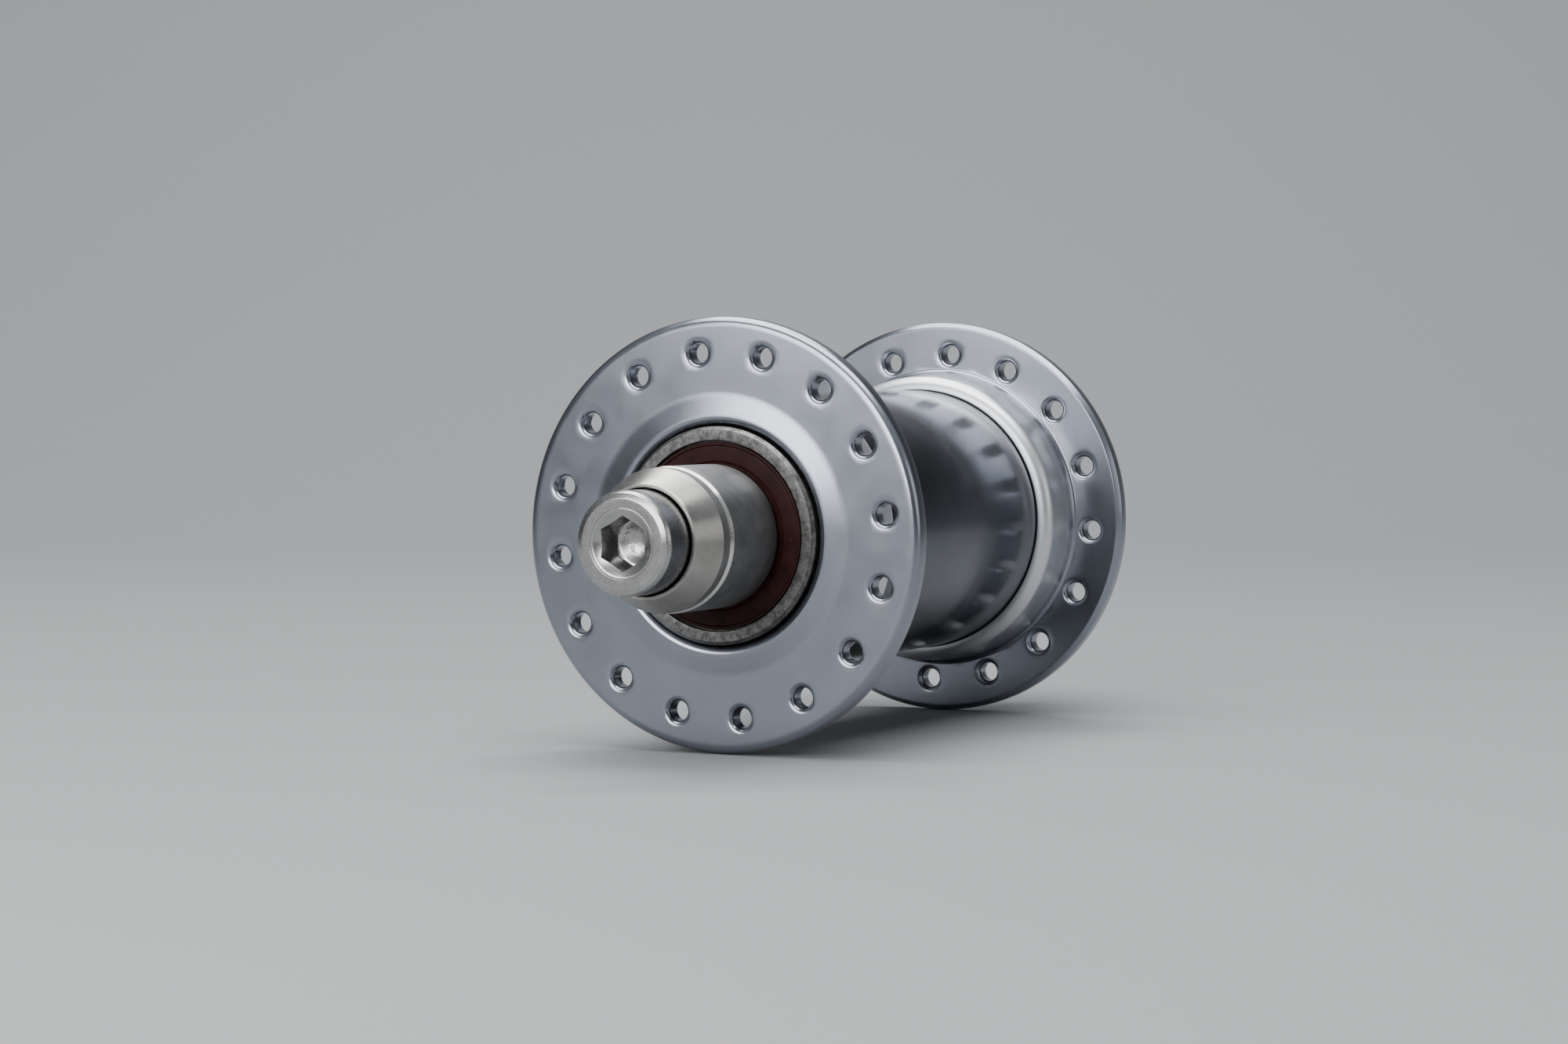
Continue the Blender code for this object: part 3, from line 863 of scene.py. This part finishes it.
def make_end_spacer(side, materials):
    radius, bottom, face = reach("left_end_spacer")
    relief = bottom + END_SPACER_RELIEF
    corners = [
        (END_SPACER_BORE, face, 0.25),
        (radius - END_SPACER_CHAMFER, face, 0.06),
        (radius, face - END_SPACER_CHAMFER, 0.08),
        (radius, bottom + 0.45, 0.2),
        (radius - 0.3, relief, 0.05),
        (END_SPACER_FOOT_RADIUS, relief, 0.05),
        (END_SPACER_FOOT_RADIUS, bottom, 0.08),
        (END_SPACER_BORE, bottom, 0.2),
    ]
    turned_piece(f"{side}_end_spacer", side, corners, materials["ground_spacer"], "axle")


def make_fork_washer(side, materials):
    """A cone with a chamfered lip, bored out so that the bolt's head sinks into it."""
    radius, bottom, front = reach("left_fork_washer")
    corners = [
        (WASHER_BORE, front, 0.08),
        (7.14, front, 0.08),
        (7.32, front - 0.28, 0.06),
        (radius, bottom + WASHER_BAND, 0.12),
        (radius, bottom, 0.12),
        (WASHER_HOLE, bottom, 0.15),
        (WASHER_HOLE, front - WASHER_BORE_DEPTH, 0.1),
        (WASHER_BORE, front - WASHER_BORE_DEPTH, 0.15),
    ]
    steel = materials["turned_stainless"]
    turned_piece(f"{side}_fork_washer", side, corners, steel, f"{side}_washer")


def hex_radius(angle):
    """Distance to the wall of a hexagonal socket that has a corner straight up."""
    sixth = math.radians(60)
    return HEX_ACROSS_FLATS / 2 / math.cos((angle + sixth / 2) % sixth - sixth / 2)


def thread_radius(height):
    """Radius of a right-hand thread at a height, as a function of the angle."""

    def at(angle):
        share = (height / THREAD_PITCH - angle / (2 * math.pi)) % 1.0
        slope = min(max(abs(2 * share - 1) * THREAD_STEEPNESS - THREAD_FLAT, 0.0), 1.0)
        return THREAD_RADIUS - THREAD_DEPTH * slope

    return at


def make_bolt(side, materials):
    """A socket-head bolt, drawn from the drill point in its socket, over the head and down to its tip."""
    radius, tip, top = reach("left_axle_bolt")
    head_back = top - HEAD_LENGTH
    socket_floor = top - HEX_DEPTH
    drill_point = socket_floor - DRILL_DEPTH

    def mouth_height(angle):
        return top - COUNTERSINK_SLOPE * (COUNTERSINK_RADIUS - hex_radius(angle))

    def floor_edge(angle):
        return hex_radius(angle) - HEX_FLOOR_ROUNDING

    rings = [[(0.0, 0.0, drill_point)]]
    for share in DRILL_SHARES:
        rings.append(circle(DRILL_RADIUS * share, drill_point + DRILL_DEPTH * share**DRILL_CURVE, BOLT_STEPS))
    rings.append(circle(DRILL_RADIUS + 0.05, socket_floor - 0.02, BOLT_STEPS))
    rings.append(circle(floor_edge, socket_floor, BOLT_STEPS))
    rings.append(circle(hex_radius, socket_floor + HEX_FLOOR_ROUNDING, BOLT_STEPS))
    rings.append(circle(hex_radius, mouth_height, BOLT_STEPS))
    face = rounded(
        [
            (COUNTERSINK_RADIUS, top - 0.04, 0),
            (4.0, top, 0),
            (4.32, top, 0.05),
            (4.38, top - 0.05, 0.03),
            (4.46, top, 0.05),
            (5.55, top, 0.5),
            (6.25, top - 0.28, 0.3),
            (radius, top - 0.85, 0.5),
            (radius, head_back, 0.25),
            (THREAD_RADIUS + 0.2, head_back, 0),
        ],
        closed=False,
    )
    rings += [circle(point[0], point[1], BOLT_STEPS) for point in face]
    thread_top = head_back - 0.4
    thread_end = tip + 0.8
    ring_count = round((thread_top - thread_end) / (THREAD_PITCH / THREAD_RINGS_PER_TURN))
    rings.append(circle(THREAD_RADIUS - 0.1, head_back - 0.2, BOLT_STEPS))
    for step in range(ring_count + 1):
        height = thread_top + (thread_end - thread_top) * step / ring_count
        rings.append(circle(thread_radius(height), height, BOLT_STEPS))
    rings.append(circle(3.15, tip + 0.15, BOLT_STEPS))
    rings.append(circle(2.95, tip, BOLT_STEPS))
    rings.append([(0.0, 0.0, tip)])
    shape = Shape()
    shape.skin(rings)
    steel = materials["bolt_stainless"]
    make_piece(shape, f"{side}_axle_bolt", side, steel, f"{side}_bolt")


# ---------------------------------------------------------------- studio

# The floor, in metres.
FLOOR_GAP = 0.0001
FLOOR_REACH = 2.5
BEND_START = 0.5
BEND_RADIUS = 0.5
BEND_STEPS = 16
BACKDROP_HEIGHT = 2.4


def make_floor():
    """A pale sweep: flat under the hub, then curving up behind it."""
    level = cad_bounds[0][2] - FLOOR_GAP
    outline = [(-FLOOR_REACH, level), (BEND_START, level)]
    for step in range(1, BEND_STEPS + 1):
        turn = math.radians(90 * step / BEND_STEPS)
        rise = BEND_RADIUS * (1 - math.cos(turn))
        outline.append((BEND_START + BEND_RADIUS * math.sin(turn), level + rise))
    outline.append((BEND_START + BEND_RADIUS, level + BACKDROP_HEIGHT))
    mesh = bpy.data.meshes.new("floor")
    points = [(x, y, z) for y, z in outline for x in (-FLOOR_REACH, FLOOR_REACH)]
    faces = [(2 * i, 2 * i + 1, 2 * i + 3, 2 * i + 2) for i in range(len(outline) - 1)]
    mesh.from_pydata(points, [], faces)
    mesh.shade_smooth()
    material, _, shader = new_surface("pale_floor", metallic=0.0)
    shader.inputs["Base Color"].default_value = (0.225, 0.23, 0.235, 1.0)
    shader.inputs["Roughness"].default_value = 0.85
    mesh.materials.append(material)
    floor = bpy.data.objects.new("floor", mesh)
    floor.rotation_euler = (0.0, 0.0, CAMERA_AZIMUTH)
    bpy.context.scene.collection.objects.link(floor)


def aim_at(obj, place, target):
    obj.location = place
    obj.rotation_euler = (Vector(target) - Vector(place)).to_track_quat("-Z", "Y").to_euler()


def softbox(name, place, target, width, height, watts):
    """A large soft lamp that lights and reflects but isn't seen itself."""
    light = bpy.data.lights.new(name, "AREA")
    light.shape = "RECTANGLE"
    light.size = width
    light.size_y = height
    light.energy = watts
    obj = bpy.data.objects.new(name, light)
    obj.visible_camera = False
    bpy.context.scene.collection.objects.link(obj)
    aim_at(obj, place, target)


def make_sky():
    """Soft surroundings: light overhead, and dark at eye level and below."""
    world = bpy.data.worlds.new("studio")
    world.use_nodes = True
    tree = world.node_tree
    place = add(tree, "ShaderNodeTexCoord").outputs["Generated"]
    height = add(tree, "ShaderNodeSeparateXYZ", {"Vector": place}).outputs["Z"]
    strength = spread(tree, height, 0.0, 0.9, 0.08, 0.5)
    tree.links.new(strength, tree.nodes["Background"].inputs["Strength"])
    tree.nodes["Background"].inputs["Color"].default_value = (0.90, 0.95, 1.0, 1.0)
    bpy.context.scene.world = world


def make_studio():
    make_floor()
    make_sky()
    softbox("overhead", (0.0, -0.14, 0.62), (0, -0.14, 0), 0.8, 0.5, 8.5)
    softbox("front_left", (-0.03, -0.40, 0.140), (-0.03, -0.03, 0.140), 0.33, 0.20, 1.55)
    softbox("right", (0.55, -0.02, 0.13), (0.0, -0.02, 0.0), 0.34, 0.26, 0.3)
    softbox("backdrop", (-0.3, 0.62, 1.15), (-0.4, 0.80, 0.0), 0.9, 0.4, 15.5)


def make_camera():
    data = bpy.data.cameras.new("camera")
    data.lens = LENS_MM
    data.sensor_width = SENSOR_MM
    data.clip_start = NEAREST_SEEN
    camera = bpy.data.objects.new("camera", data)
    bpy.context.scene.collection.objects.link(camera)
    back = Vector(
        (
            math.sin(CAMERA_AZIMUTH) * math.cos(CAMERA_ELEVATION),
            -math.cos(CAMERA_AZIMUTH) * math.cos(CAMERA_ELEVATION),
            math.sin(CAMERA_ELEVATION),
        )
    )
    aim_at(camera, CAMERA_AIM + back * CAMERA_DISTANCE, CAMERA_AIM)
    bpy.context.scene.camera = camera


surfaces = {
    make.__name__: make()
    for make in (
        satin_alloy,
        polished_alloy,
        ground_spacer,
        turned_stainless,
        bolt_stainless,
        bearing_steel,
        ball_steel,
        dark_steel,
        seal_rubber,
        cage_nylon,
    )
}
make_barrel(surfaces)
make_axle(surfaces)
for end in SIDES:
    make_flange(end, surfaces)
    make_bearing_rings(end, surfaces)
    make_seals(end, surfaces)
    make_balls(end, surfaces)
    make_cage(end, surfaces)
    make_end_spacer(end, surfaces)
    make_fork_washer(end, surfaces)
    make_bolt(end, surfaces)
make_studio()
make_camera()
